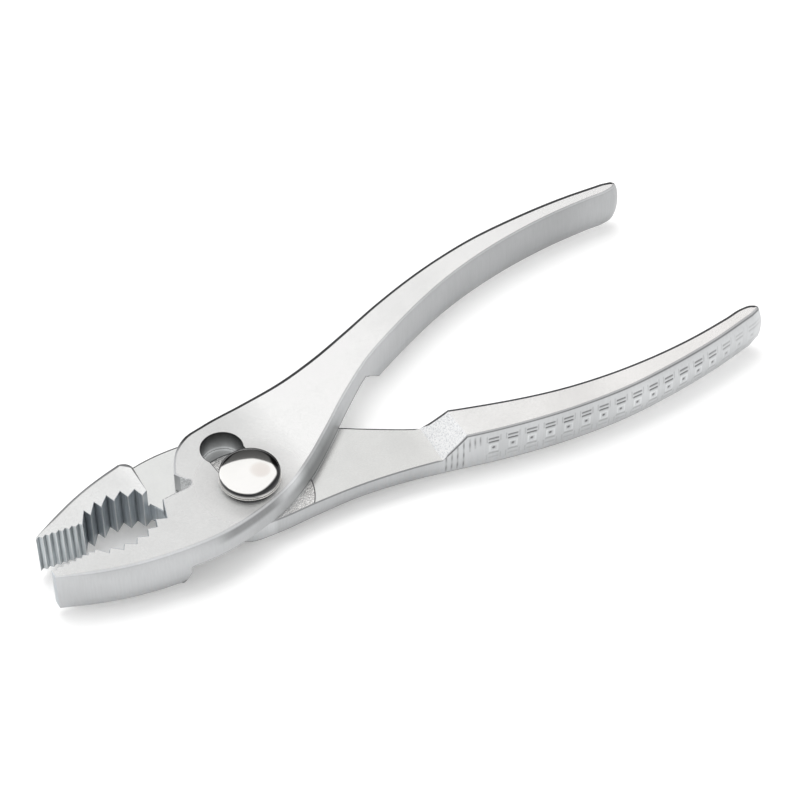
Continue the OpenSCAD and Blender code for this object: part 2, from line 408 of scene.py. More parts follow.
@dataclass(frozen=True)
class WallPaint:
    """Painted dark lines along the edges of one half, and painted light and shade and a darker patch on its
    walls.

    A line's value says how dark it is, and a tone is what the colour is multiplied by. A pair
    or a four holds the places in millimetres between which an effect fades.
    """

    # Painted dark lines: at the lap's edge a painted shadow line, along near edges a slight one, and along
    # far edges a painted reflection of the dark far side.
    lap_line: float = 0.0
    near_line: float = 0.12
    near_levels: tuple[float, ...] = (0.8, 1.0, 0.6, 0.15, 0.0)
    far_line: float = 0.95
    far_ring: float = 0.9
    # A painted dark line over the foot of the inner wall by the lap, and a painted highlight along that
    # foot.
    foot_line: float = 0.8
    foot_glow: float = 0.9
    foot_x: Pair = (4, 12)
    # Painted highlight on the rounded edges that face the near side.
    edge_highlight: float = 1.35
    raised_tone: float = 0.3
    # The next value sets how dark the patch high on the wall near the joint is, and with glint how bright
    # the painted glint behind it is.
    patch_and_glint: float = 0.42
    patch_x: Four = (-15, -9, 0, 4)
    patch_z: Four = (2.6, 3.6, 4.6, 4.72)
    glint: float = 1.3
    glint_x: Four = (2, 8, 18, 30)
    glint_z: Pair = (2.4, 4.2)
    # The outer wall's tone, with painted shade that deepens towards the joint.
    neck_tone: float = 0.93
    neck_drop: float = 0.1
    neck_x: Pair = (30, 42)
    # Painted light and shade along the inner wall, darkest just past the joint.
    tones: Stops = (
        (-20, 1.08),
        (-14, 1.02),
        (1, 0.95),
        (4, 0.9),
        (8, 0.8),
        (12, 0.42),
        (18, 0.4),
        (22, 0.5),
        (28, 0.8),
        (40, 0.88),
        (70, 0.7),
        (100, 0.6),
        (112, 0.7),
    )

    def tone(self, x: np.ndarray, outer: np.ndarray) -> np.ndarray:
        """The tone of each column.

        Args:
            x: The columns' places along the tool.
            outer: Whether each column lies past the handle's tip.

        Returns:
            The inner wall's painted light and shade, the handle's tone and painted shade on its outer wall,
            and 1 from the joint on.
        """
        neck = self.neck_tone - self.neck_drop * (1 - eased(x, *self.neck_x))
        inner = np.interp(x, *np.array(self.tones, dtype=float).T)
        return np.where(outer, np.where(x > 0, neck, 1.0), inner)

    def line(self, far: np.ndarray) -> np.ndarray:
        """How dark the painted line along a face's edge is: a strong painted reflection of the dark far side
        on far edges, slight on near ones.

        Args:
            far: How far each column faces the tool's far side.

        Returns:
            One row a level, from the lap plane to the ring on the face.
        """
        edge = np.array(self.near_levels)[:, None] * (self.near_line * (1 - far))
        edge[1:] += self.far_line * far
        return np.concatenate([np.zeros((WALL_ROWS - 1, len(far))), edge, self.far_ring * far[None]])

    def foot(self, x: np.ndarray, inner_lap: np.ndarray) -> np.ndarray:
        """How dark the painted line over the foot of the inner wall is, one value a column."""
        return self.foot_line * inner_lap * eased(x, *self.foot_x)

    def pads(self, relief: np.ndarray) -> np.ndarray:
        """The brighter tone of what the pattern raises."""
        return 1 + self.raised_tone * np.clip(-relief, 0, 1)

    def light(self, x: np.ndarray, z: np.ndarray, far: np.ndarray, inner: np.ndarray) -> np.ndarray:
        """Tone of the upper walls: a painted highlight near edges, a darker patch and a painted glint behind
        it.

        Args:
            x: The columns' places along the tool.
            z: The points' heights, one row a level.
            far: How far each column faces the tool's far side.
            inner: Whether each column lies before the handle's tip.

        Returns:
            What the colour is multiplied by at each point.
        """
        light = np.ones(z.shape)
        # Painted highlight on the rounded edges of near-facing walls.
        light[WALL_ROWS:] = 1 + (self.edge_highlight - 1) * (1 - far)
        # Painted glint high on the inner wall, behind the darker patch.
        glint = inner * band(x, *self.glint_x) * eased(z, *self.glint_z)
        patch = inner * band(x, *self.patch_x) * band(z, *self.patch_z)
        return light * (1 + self.patch_and_glint * self.glint * glint) * (1 - self.patch_and_glint * patch)


@dataclass(frozen=True)
class Columns:
    """The columns of a half's walls, one at each point of its outline, as arrays.

    ring has x, y and the bulge there, and way the outward direction. zone is the number of the
    zone up to the next column, ridge 1 on tooth tips and 0 on roots, and tone what the colour
    is multiplied by, which carries painted light and shade. outer marks the columns past the
    handle's tip, and far tells how much each faces the far side. edge is the radius of the
    rounded edge, level the width of the ring beside it on the face, and tight the share of both
    that is kept.
    """

    ring: np.ndarray
    way: np.ndarray
    zone: np.ndarray
    ridge: np.ndarray
    tone: np.ndarray
    outer: np.ndarray
    far: np.ndarray
    edge: np.ndarray
    level: np.ndarray
    tight: np.ndarray

    def take(self, numbers: np.ndarray) -> "Columns":
        """The columns of the given numbers."""
        return Columns(**{key: values[numbers] for key, values in asdict(self).items()})


@dataclass(frozen=True)
class Marks:
    """Numbers of the columns where the lap starts and ends, on the inner and the outer edge."""

    back: int
    ramp_in: int
    ramp_out: int
    front: int


@dataclass
class ForgedHalf:
    """One of the two forgings, built lying on its back in its own frame.

    X runs to the handle end, Y to the handle's outer edge, and z = 0 is the lap plane, with the
    lap layer over it. All sizes are in millimetres. A table of shares has a row for each point:
    the shares of the two lengths that the point follows, then the share of the bulge.
    """

    name: str = "slotted_half"
    body: str = "slotted_side"
    slot: str = "slotted_steel"
    pattern: StampedPattern = StampedPattern()
    paint: WallPaint = WallPaint()
    nose: Table = field(default_factory=lambda: [[-45.4, 0.4], [-45.22, 2.5]])
    coarse_depth: float = 1.5
    coarse_root: float = 0.3
    heel_side: float = -1
    up_side: float = 1
    handle_len: float = 118.2
    jaw_len: float = 45.4
    handle_bow: float = 34.3
    jaw_back: float = 8.7
    joint_rise: float = 19.1
    half_t: float = 4.95
    draft: float = 1.1
    bulge_share: float = 0.92
    heel_r: float = 4.6
    lap_z: float = 0.03
    bite_y: float = 2.3
    fine_n: int = 7
    fine_h: float = 0.6
    fine_root: float = 0.4
    grip_x: float = 21.25
    grip_w: float = 14.0
    grip_sag: float = 2.1
    coarse_n: int = 5
    notch_cut_n: int = 4
    shoulder_x: float = 18.9
    shoulder_lean: float = 1.0
    shoulder_r: float = 0.9
    shoulder_back: float = 0.92
    corner_steps: int = 7
    corner_pull: float = 2.4
    corner_x: float = -19.3
    corner_free_x: float = -10.0
    corner_y: Pair = (-7.0, -3.0)
    corner_wide: float = 0.0
    ramp_x: float = 40.2
    ramp_len: float = 5.5
    ramp_turn: float = 6.0
    edge_r: float = 0.24
    ring_w: float = 0.22
    ring_wide: float = 0.6
    far: Pair = (FAR_X, FAR_Y)
    far_facing: Pair = (0.1, 0.5)
    far_jaw_x: Pair = (-30, -12)
    far_jaw_share: float = 0.25
    far_wide: float = 0.6
    tip_wide: float = 0.8
    tip_fade: Pair = (3.0, 0.5)
    nose_fade: Pair = (0.2, 6.0)
    nose_share: float = 0.3
    lap_chamfer: float = 0.22
    lap_far_drop: float = 0.13
    lap_far_pull: float = 0.14
    lap_run: float = 1.1
    hole_r: float = 4.45
    hole_half: float = 4.0
    hole_lip: float = 0.12
    hole_steps: int = 60
    slip: float = 11.2
    inner_close_x: float = 116.5
    outer_close_x: float = 36.0
    close_step: float = 0.17
    wide_step: float = 1.0
    least_step: float = 0.06
    back_shares: Table = field(
        default_factory=lambda: [
            [-0.863, -0.305, 0.8],
            [-0.698, -0.63, 1],
            [-0.474, -0.895, 1.2],
            [-0.278, -1, 1.2],
            [-0.057, -0.89, 1],
        ]
    )
    inner_shares: Table = field(
        default_factory=lambda: [
            [0.053, -0.155, 0.9],
            [0.116, -0.039, 1],
            [0.177, 0.102, 0.9],
            [0.254, 0.289, 0.6],
            [0.338, 0.464, 0.1],
            [0.423, 0.592, 0.3],
            [0.592, 0.784, 0.4],
            [0.761, 0.87, 0.5],
            [0.846, 0.879, 0.6],
            [0.931, 0.866, 0.7],
            [0.975, 0.855, 0.8],
            [0.993, 0.868, 0.9],
            [1, 0.895, 1],
            [0.996, 0.918, 1.1],
        ]
    )
    outer_shares: Table = field(
        default_factory=lambda: [
            [0.978, 0.936, 1.2],
            [0.888, 0.977, 1.3],
            [0.761, 1, 1.2],
            [0.677, 0.996, 0.9],
            [0.592, 0.964, 0.5],
            [0.423, 0.834, 0.3],
            [0.338, 0.741, 0.6],
            [0.254, 0.656, 0.9],
            [0.169, 0.596, 1],
            [0.085, 0.573, 0.7],
        ]
    )
    front_shares: Table = field(
        default_factory=lambda: [
            [0, 1, 0.5],
            [-0.112, 0.953, 0.3],
            [-0.187, 0.822, 0.2],
            [-0.244, 0.634, 0.1],
            [-0.262, 0.555, 0],
        ]
    )
    notch_shares: Table = field(
        default_factory=lambda: [
            [-0.249, 0.482],
            [-0.217, 0.382],
            [-0.229, 0.33],
            [-0.26, 0.317],
            [-0.341, 0.319],
            [-0.383, 0.314],
            [-0.386, 0.288],
            [-0.401, 0.194],
            [-0.423, 0.068],
        ]
    )

    def sized(self, table: Table, sx: float, sy: float) -> np.ndarray:
        """A table of shares as points, with the bulge in millimetres as third column."""
        t = np.array([row + [0] * (3 - len(row)) for row in table], dtype=float)
        return t * [sx, sy, self.draft]

    def shoulder(self) -> np.ndarray:
        """Where the jaw's round back corner ends and the leaning shoulder begins."""
        return np.array([-self.shoulder_x, self.shoulder_r - self.jaw_back * self.shoulder_back])

    def coarse_teeth(self) -> np.ndarray:
        """The pipe grip.

        The tips stand on an arc through both end teeth that hollows the jaw by grip_sag. Each
        root lies straight behind a point of the chord from its own tip to the next.

        Returns:
            Tips and roots by turns, from the joint towards the nose.
        """
        r = (self.grip_w**2 / 4 + self.grip_sag**2) / (2 * self.grip_sag)
        turn = math.asin(self.grip_w / 2 / r) * np.linspace(1, -1, self.coarse_n + 1)
        x = -self.grip_x - self.grip_w / 2 + r * np.sin(turn)
        y = self.bite_y - self.grip_sag + r - r * np.cos(turn)
        tips = np.stack([x, y, 0 * x], axis=1)
        roots = tips[:-1] + self.coarse_root * np.diff(tips, axis=0) - [0, self.coarse_depth, 0]
        pairs = np.stack([tips[:-1], roots], axis=1).reshape(-1, 3)
        return np.vstack([pairs, tips[-1:]])

    def fine_teeth(self) -> np.ndarray:
        """The straight row at the nose.

        Returns:
            Roots and tips by turns, from the pipe grip to the nose.
        """
        start = np.array([-self.grip_x - self.grip_w, self.bite_y, 0])
        pitch = (np.array(self.nose[1] + [0]) - start) / self.fine_n
        i = np.arange(self.fine_n)[:, None]
        roots = start + (i + self.fine_root) * pitch - [0, self.fine_h, 0]
        return np.stack([roots, start + (i + 1) * pitch], axis=1).reshape(-1, 3)

    def shoulder_meet(self, end: np.ndarray, tooth: np.ndarray) -> np.ndarray:
        """Where the leaning shoulder meets the wall between the notch and the first tooth.

        Args:
            end: The notch's last point.
            tooth: The first coarse tooth's tip.

        Returns:
            The point, with no bulge.
        """
        front = np.array([-self.shoulder_x - self.shoulder_lean, self.bite_y])
        low = self.shoulder()
        share = np.linalg.solve(np.stack([tooth - end, low - front], axis=1), low - end)[0]
        return np.append(end + share * (tooth - end), 0)

    def past_ramp(self, points: np.ndarray) -> np.ndarray:
        """Distance of each point past the ramp's foot, square to the foot."""
        a = math.radians(self.ramp_turn)
        return points[..., 0] * math.cos(a) + points[..., 1] * math.sin(a) - self.ramp_x

    def spaced(self, curve: np.ndarray, marks: list[np.ndarray], close_x: float) -> np.ndarray:
        """A curve with wide steps, close ones past close_x, and a point at each mark.

        Args:
            curve: Points close together, one a row.
            marks: For each mark, a value along the curve that is zero there.
            close_x: Where the grip pattern or the heel begins to need close columns.

        Returns:
            The new points, by straight interpolation along the curve.
        """
        s = np.append(0, np.cumsum(np.linalg.norm(np.diff(curve[:, :2], axis=0), axis=1)))
        step = np.where(curve[:, 0] > close_x, self.close_step, self.wide_step)
        ticks = np.append(0, np.cumsum(np.diff(s) / step[1:]))
        at = np.interp(np.arange(0, ticks[-1]), ticks, s)
        crossing = []
        for value in marks:
            k = np.nonzero(value[:-1] * value[1:] < 0)[0]
            crossing += (s[k] + (s[k + 1] - s[k]) * value[k] / (value[k] - value[k + 1])).tolist()
        clear = np.all(np.abs(at[:, None] - np.array(crossing)) > self.least_step, axis=1)
        at = np.sort(np.concatenate([at[clear], crossing, s[-1:]]))
        return np.stack([np.interp(at, s, curve[:, k]) for k in range(3)], axis=1)

    def forged_edges(self) -> tuple[np.ndarray, np.ndarray]:
        """The two smooth stretches of the outline.

        Returns:
            The edge from the nose by the back to the handle's tip, and from there to the notch.
        """
        back = self.sized(self.back_shares, self.jaw_len, self.jaw_back)
        inner = self.sized(self.inner_shares, self.handle_len, self.handle_bow)
        one = smooth_curve(np.vstack([self.nose[0] + [0], back, inner]))
        outer = self.sized(self.outer_shares, self.handle_len, self.handle_bow)
        front = self.sized(self.front_shares, self.jaw_len, self.joint_rise)
        two = smooth_curve(np.vstack([outer, front]))
        corner = one[:, 0] + self.shoulder_x + self.shoulder_r
        foot_one, foot_two = self.past_ramp(one), self.past_ramp(two)
        one = self.spaced(one, [corner, foot_one, foot_one - self.ramp_len], self.inner_close_x)
        two = self.spaced(two, [foot_two, foot_two - self.ramp_len], self.outer_close_x)
        return one, two

    def outline(self) -> tuple[Columns, Marks]:
        """The whole outline, anticlockwise from the nose: forged edges, then cut ones.

        Returns:
            The columns, and where the lap layer's edge meets the shoulder and the ramp.
        """
        one, two = self.forged_edges()
        notch = self.sized(self.notch_shares, self.jaw_len, self.joint_rise)
        coarse, fine = self.coarse_teeth(), self.fine_teeth()
        meet = self.shoulder_meet(notch[-1, :2], coarse[0, :2])
        ring = np.vstack([one, two, notch, meet, coarse, fine])
        tip_at, notch_at = len(one), len(one) + len(two)
        front, fine_at = notch_at + len(notch), len(ring) - len(fine)
        zone = np.zeros(len(ring), dtype=int)
        zone[notch_at:] = 1
        zone[front - self.notch_cut_n :] = 2
        zone[fine_at - 1 : -1] = 3
        ridge = np.full(len(ring), POINT_VALUES["ridge"])
        ridge[front + 1 : fine_at : 2] = 1
        ridge[front + 2 : fine_at : 2] = 0
        ridge[fine_at::2] = 0
        ridge[fine_at + 1 :: 2] = 1
        past = np.abs(self.past_ramp(ring))
        marks = Marks(
            back=int(np.argmin(np.abs(one[:, 0] + self.shoulder_x + self.shoulder_r))),
            ramp_in=int(np.argmin(past[:tip_at])),
            ramp_out=tip_at + int(np.argmin(past[tip_at:notch_at])),
            front=front,
        )
        return self.columns(ring, zone, ridge, np.arange(len(ring)) >= tip_at), marks

    def columns(self, ring: np.ndarray, zone: np.ndarray, ridge: np.ndarray, outer: np.ndarray) -> Columns:
        """Works out the outward direction, the edge and the tone of each column.

        Args:
            ring: Outline points with their bulge.
            zone: The zone's number at each.
            ridge: 1 on tooth tips and 0 on roots.
            outer: Whether each lies past the handle's tip.

        Returns:
            The columns.
        """
        x = ring[:, 0]
        before = turned_right(unit_rows(ring[:, :2] - np.roll(ring, 1, axis=0)[:, :2]))
        after = np.roll(before, -1, axis=0)
        mitre = np.maximum(1 + np.sum(before * after, axis=1, keepdims=True), 0.6)
        way = (before + after) / mitre
        behind = self.far_jaw_share + (1 - self.far_jaw_share) * eased(x, *self.far_jaw_x)
        far = eased(way @ np.array(self.far), *self.far_facing) * behind
        tip = eased(x, *(self.handle_len - fade for fade in self.tip_fade))
        nose = eased(x, *(self.nose[0][0] + fade for fade in self.nose_fade))
        return Columns(
            ring=ring,
            way=way,
            zone=zone,
            ridge=ridge,
            tone=self.paint.tone(x, outer),
            outer=outer,
            far=far,
            edge=self.edge_r * (1 + self.far_wide * far * (1 - tip) + self.tip_wide * far * tip),
            level=self.ring_w * (1 + self.ring_wide * far),
            tight=(self.nose_share + (1 - self.nose_share) * nose) * EDGE_SHARES[zone],
        )

    def levels(
        self, cols: Columns, face: np.ndarray, r: np.ndarray, side: int
    ) -> tuple[np.ndarray, np.ndarray]:
        """Heights and insets of a layer's levels, from the lap plane to its face.

        A wall is straight, then follows a quarter circle, and ends in a narrow level ring on
        the face.

        Args:
            cols: The layer's columns.
            face: Height of the face at each column.
            r: Radius of the edge at each column.
            side: 1 for the layer over the lap plane and -1 for one under it.

        Returns:
            The heights and the insets, one row a level.
        """
        straight = self.lap_z + (face - side * r - self.lap_z) * np.linspace(0, 1, WALL_ROWS)[:, None]
        bend = face - side * r + side * r * np.sin(EDGE_ARC)[:, None]
        curl = r * (1 - np.cos(EDGE_ARC))[:, None]
        inset = np.concatenate([0 * straight, curl, (r + cols.level * r / cols.edge)[None]])
        return np.concatenate([straight, bend, face[None]]), inset * cols.tight

    def walls(
        self, cols: Columns, z: np.ndarray, inset: np.ndarray, stamped: np.ndarray
    ) -> tuple[np.ndarray, np.ndarray]:
        """Points of the side walls.

        Each column stands on an outline point. At height z it is moved outwards by the bulge
        times a rounded share that falls from 1 at the lap plane to 0 at both faces, and inwards
        by the inset and by the stamped pattern.

        Args:
            cols: The columns.
            z: Height of each point, one row a level.
            inset: Inward distance of each point.
            stamped: Share of the stamped pattern that shows at each point or column.

        Returns:
            The points, and how deep each lies in the pattern, with nothing on the last two levels.
        """
        share = (1 - np.clip(np.abs(z) / self.half_t, 0, 1) ** 2.2) ** 0.8
        x_way = np.broadcast_to(cols.ring[:, 0], z.shape)
        relief = self.pattern.relief(x_way, z * self.up_side) * stamped * (x_way > self.pattern.start_x)
        pressed = self.pattern.depth * np.where(relief > 0, relief, self.pattern.raised_share * relief)
        out = self.bulge_share * cols.ring[:, 2] * share - inset - pressed
        x = cols.ring[:, 0] + cols.way[:, 0] * out
        y = cols.ring[:, 1] + cols.way[:, 1] * out
        below = np.clip(z * self.heel_side - (self.half_t - self.heel_r), 0, self.heel_r)
        limit = self.handle_len + self.draft - self.heel_r + np.sqrt(self.heel_r**2 - below**2)
        # Points cut back to the end plane keep their order along it.
        cut = x > limit
        y = np.where(cut, np.maximum.accumulate(np.where(cut, y, -np.inf), axis=1), y)
        relief[-2:] = 0
        return np.stack([np.minimum(x, limit), y, z], axis=-1), relief

    def add_upper(self, shell: Shell, cols: Columns, marks: Marks) -> np.ndarray:
        """Adds the walls of the upper layer, over the whole outline.

        Args:
            shell: The shell that gets them.
            cols: All the columns.
            marks: Where the lap begins and ends.

        Returns:
            The points' numbers, one row a level.
        """
        x = cols.ring[:, 0]
        lap = np.zeros(len(x), dtype=bool)
        lap[marks.back : marks.ramp_in] = True
        lap[marks.ramp_out : marks.front] = True
        s = np.cumsum(np.linalg.norm(cols.ring[:, :2] - np.roll(cols.ring, 1, axis=0)[:, :2], axis=1))
        ends = s[[marks.back, marks.ramp_in, marks.ramp_out, marks.front]]
        near = np.min(np.abs(s[:, None] - ends), axis=1)
        chamfer = lap * np.clip(near / self.lap_run, 0, 1)
        z, inset = self.levels(cols, np.full(len(x), self.half_t), cols.edge, 1)
        z[1] = self.lap_z + self.lap_chamfer - self.lap_far_drop * cols.far
        inset[0] += chamfer * (self.lap_chamfer + self.lap_far_pull * cols.far)
        points, relief = self.walls(cols, z, inset, cols.outer)
        # Painted dark line over the foot of the inner wall by the lap.
        foot = self.paint.foot(x, lap & ~cols.outer)
        # Painted dark lines along the face's edges, and a painted shadow line at the lap's edge.
        rim = self.paint.line(cols.far)
        rim[:2] = lap * self.paint.lap_line * (0.5 + 0.45 * cols.far)
        rim[2:4] = np.maximum(rim[2:4], foot)
        # Painted light and shade on the walls, and the painted highlights of the upper walls.
        tone = cols.tone * self.paint.pads(relief) * self.paint.light(x, z, cols.far, ~cols.outer)
        # Painted highlight along the foot by the lap.
        tone[:2] *= 1 + self.paint.foot_glow * foot
        # The stamped marks are darkened with painted shade.
        recess = np.clip(relief, 0, 1)
        upper = shell.add_points(points, recess=recess, ridge=cols.ridge, rim=rim, tone=tone)
        shell.add_quads(upper, True, OUTLINE_ZONES[cols.zone])
        return upper

    def add_bore(self, shell: Shell, hole: np.ndarray) -> np.ndarray:
        """Adds the wall of the hole: rounded at the face, sharp at the lap plane.

        Args:
            shell: The shell that gets it.
            hole: The hole's outline, anticlockwise.

        Returns:
            The points' numbers, one row a level, upwards.
        """
        way = turned_right(unit_rows(np.roll(hole, -1, axis=0) - np.roll(hole, 1, axis=0)))
        lip, top, arc = self.hole_lip, self.half_t, np.append(0, EDGE_ARC)
        grow = np.concatenate([[0, 0, 0], lip * (1 - np.cos(arc)), [lip + 0.04]])
        foot = [self.lap_z, self.lap_z + 0.5, self.lap_z + 0.7]
        z = np.concatenate([foot, top - lip + lip * np.sin(arc), [top]])
        xy = hole[None] + way[None] * grow[:, None, None]
        points = np.concatenate([xy, np.broadcast_to(z[:, None, None], (*xy.shape[:2], 1))], axis=-1)
        # Painted shade darkens the hole's wall towards its rounded top, and a painted highlight lightens its
        # foot.
        line = np.array([0, 0, 0, 0.9, 1, 1, 0.9, 0.8, 0.3])[:, None]
        light = np.array([1.6, 1.5, 1.0, 0.8, 0.8, 0.7, 0.6, 0.6, 0.8])[:, None]
        rows = shell.add_points(points, rim=line, tone=light)
        shell.add_quads(rows[::-1], True)
        return rows

    def lower(
        self, cols: Columns, floor: np.ndarray, r: np.ndarray
    ) -> tuple[np.ndarray, np.ndarray, np.ndarray]:
        """Walls of a layer under the lap plane.

        Args:
            cols: The layer's columns.
            floor: Height of its lower face at each column.
            r: Radius of the edge at each column.

        Returns:
            The points, how deep each lies in the pattern, and how dark the painted line along the edge is.
        """
        z, inset = self.levels(cols, floor, r, -1)
        above = z - floor
        sloped = floor > -self.half_t + 0.01
        stamped = cols.outer * np.where(sloped, eased(above, 0.15, 0.6), 1.0)
        points, relief = self.walls(cols, z, inset, stamped)
        # Painted shade along the wall where it meets the ramp's slope.
        slope_line = 0.8 * (1 - eased(above, 0.12, 0.4)) * sloped * (above > 0) * (floor < -0.3)
        return points, relief, np.maximum(self.paint.line(cols.far), slope_line)

    def add_jaw(self, shell: Shell, every: Columns, marks: Marks) -> np.ndarray:
        """Adds the jaw's lower layer, closed at the shoulder by its round back corner.

        Args:
            shell: The shell that gets it.
            every: All the columns.
            marks: Where the lap begins and ends.

        Returns:
            Numbers of the points at the lap plane along the corner, from the back.
        """
        numbers = np.concatenate([np.arange(marks.front, len(every.ring)), np.arange(marks.back + 1)])
        cols = every.take(numbers)
        points, relief, line = self.lower(cols, np.full(len(numbers), -self.half_t), cols.edge)
        # The corner is a quarter circle, and its wall has the heights of the column beside it.
        turn = np.radians(np.linspace(90, 0, self.corner_steps))
        corner_way = np.stack([np.cos(turn), -np.sin(turn)], axis=1)
        path = self.shoulder() - [self.shoulder_r, 0] + self.shoulder_r * corner_way
        wall = np.empty((len(points), len(path), 3))
        wall[:, :, :2] = path
        wall[:, :, 2] = points[:, -1:, 2]
        curl = self.edge_r * (1 - np.cos(EDGE_ARC))
        inset = np.append(curl, self.edge_r + self.ring_w)[:, None, None]
        spread = (1 + self.corner_wide * np.sin(2 * turn))[:, None]
        wall[-len(inset) :, :, :2] -= inset * spread * corner_way
        both = np.concatenate([points, wall], axis=1)
        if self.corner_pull:
            # The back of the jaw is drawn towards the nose, more so the lower it lies.
            deep = np.clip((self.lap_z - both[..., 2]) / (self.half_t + self.lap_z), 0, 1)
            at_back = 1 - eased(both[..., 1], *self.corner_y)
            pulled = (self.corner_x - self.corner_pull * deep**1.3) * at_back
            both[..., 0] = np.minimum(both[..., 0], pulled + self.corner_free_x * (1 - at_back))
        beside = np.ones(len(path))
        # The points carry the painted shade of the stamped marks and the painted dark lines along the edges.
        jaw = shell.add_points(
            both,
            recess=np.concatenate([np.clip(relief, 0, 1), np.zeros(wall.shape[:2])], axis=1),
            ridge=np.append(cols.ridge, POINT_VALUES["ridge"] * beside),
            rim=np.concatenate([line, line[:, -1:] * beside], axis=1),
            tone=np.append(cols.tone, beside),
        )
        shell.add_quads(jaw[::-1], True, OUTLINE_ZONES[np.append(cols.zone, [0] * len(path))])
        shell.add_cap(jaw[-1][::-1], Zone.POLISH)
        return jaw[0][len(numbers) :]

    def add_handle(self, shell: Shell, every: Columns, marks: Marks) -> None:
        """Adds the handle's lower layer, cut by the ramp.

        Args:
            shell: The shell that gets it.
            every: All the columns.
            marks: Where the lap begins and ends.
        """
        cols = every.take(np.arange(marks.ramp_in, marks.ramp_out + 1))
        slope = (self.half_t + self.lap_z) / self.ramp_len
        run = self.past_ramp(cols.ring)
        floor = np.clip(self.lap_z - run * slope, -self.half_t, self.lap_z)
        points, relief, line = self.lower(cols, floor, cols.edge * eased(run, 0.3, 1.5))
        # On the ramp the inner end of each level meets the slope itself.
        past = run >= self.ramp_len - 0.01
        drop = np.where(past, 0, self.lap_z - self.past_ramp(points[-1]) * slope - floor)
        drop *= eased(run, 0.1, 0.6)
        points[-5:, :, 2] += np.array([0.1, 0.35, 0.65, 1.0, 1.0])[:, None] * drop
        # The points carry painted shade in the stamped marks and the painted dark lines along the edges.
        tone = cols.tone * self.paint.pads(relief)
        rows = shell.add_points(points, recess=np.clip(relief, 0, 1), rim=line, tone=tone)
        shell.add_quads(rows[::-1], False)
        face, flat = rows[-1], np.nonzero(past)[0]
        shell.add_cap(face[flat[0] : flat[-1] + 1][::-1], Zone.POLISH)
        shell.add_cap(np.concatenate([face[: flat[0] + 1], face[flat[-1] :]])[::-1], Zone.BLAST)

    def shell(self) -> Shell:
        """The whole forging round its hole.

        Returns:
            The closed shell, in the half's own frame.
        """
        shell = Shell()
        cols, marks = self.outline()
        upper = self.add_upper(shell, cols, marks)
        bore = self.add_bore(shell, self.hole())
        shell.add_cap(upper[-1], Zone.POLISH, bore[-1][::-1])
        corner = self.add_jaw(shell, cols, marks)
        self.add_handle(shell, cols, marks)
        inner = upper[0][marks.back : marks.ramp_in + 1]
        outer = upper[0][marks.ramp_out : marks.front + 1]
        lap = np.concatenate([inner, outer, corner[::-1]])
        shell.add_cap(lap[::-1], Zone.LAP, bore[0])
        return shell

    def place(self) -> np.ndarray:
        """The way from the half's own frame to the part's: up to the joint's plane.

        Returns:
            4 x 4 matrix in millimetres.
        """
        matrix = np.eye(4)
        matrix[2, 3] = JOINT_Z
        return matrix

    def hole(self) -> np.ndarray:
        """The two-position slot: two bores, slip apart, joined by a neck between flats.

        Returns:
            The hole's outline, anticlockwise.
        """
        lean = math.acos(self.hole_half / self.hole_r)
        low = np.linspace(math.pi - lean, 2 * math.pi + lean, self.hole_steps)
        high = np.linspace(-lean, math.pi + lean, self.hole_steps)
        return np.vstack([on_circle(self.hole_r, low), on_circle(self.hole_r, high) + [0, self.slip]])

    def build(self) -> bpy.types.Object:
        """Builds the forging as one piece and lets it ride."""
        return self.shell().to_piece(self.name + "_forging", self.body, self.name, self.slot, self.place())


@dataclass
class KeyedHalf(ForgedHalf):
    """The forging under the slotted one, turned upside down, with the hole that keys the bolt."""

    name: str = "keyed_half"
    body: str = "keyed_side"
    slot: str = "keyed_steel"
    paint: WallPaint = WallPaint(
        lap_line=1.0,
        near_line=0.75,
        foot_line=0.0,
        edge_highlight=1.0,
        patch_and_glint=0.0,
        tones=((-20, 1), (40, 1)),
    )
    nose: Table = field(default_factory=lambda: [[-44.49, -0.26], [-44.9, 0.435]])
    coarse_depth: float = 2.1
    coarse_root: float = 0.2
    heel_side: float = 1
    up_side: float = -1
    shoulder_r: float = 2.4
    corner_pull: float = 0.0
    corner_wide: float = 0.9
    far: Pair = (FAR_X, -FAR_Y)
    far_wide: float = 0.0
    hole_steps: int = 40
    shift: float = 1.0
    mirror_y: float = 5.72

    def place(self) -> np.ndarray:
        """Half a turn about X, then the shift along it and over the mirror line.

        Returns:
            4 x 4 matrix in millimetres.
        """
        matrix = np.diag([1.0, -1.0, -1.0, 1.0])
        matrix[:3, 3] = [self.shift, 2 * self.mirror_y, JOINT_Z]
        return matrix

    def hole(self) -> np.ndarray:
        """A round hole with two flats, on the bolt's axis."""
        middle = [-self.shift, 2 * self.mirror_y]
        return flatted_circle(self.hole_r, self.hole_half, self.hole_steps) + middle


# The joint's small pieces


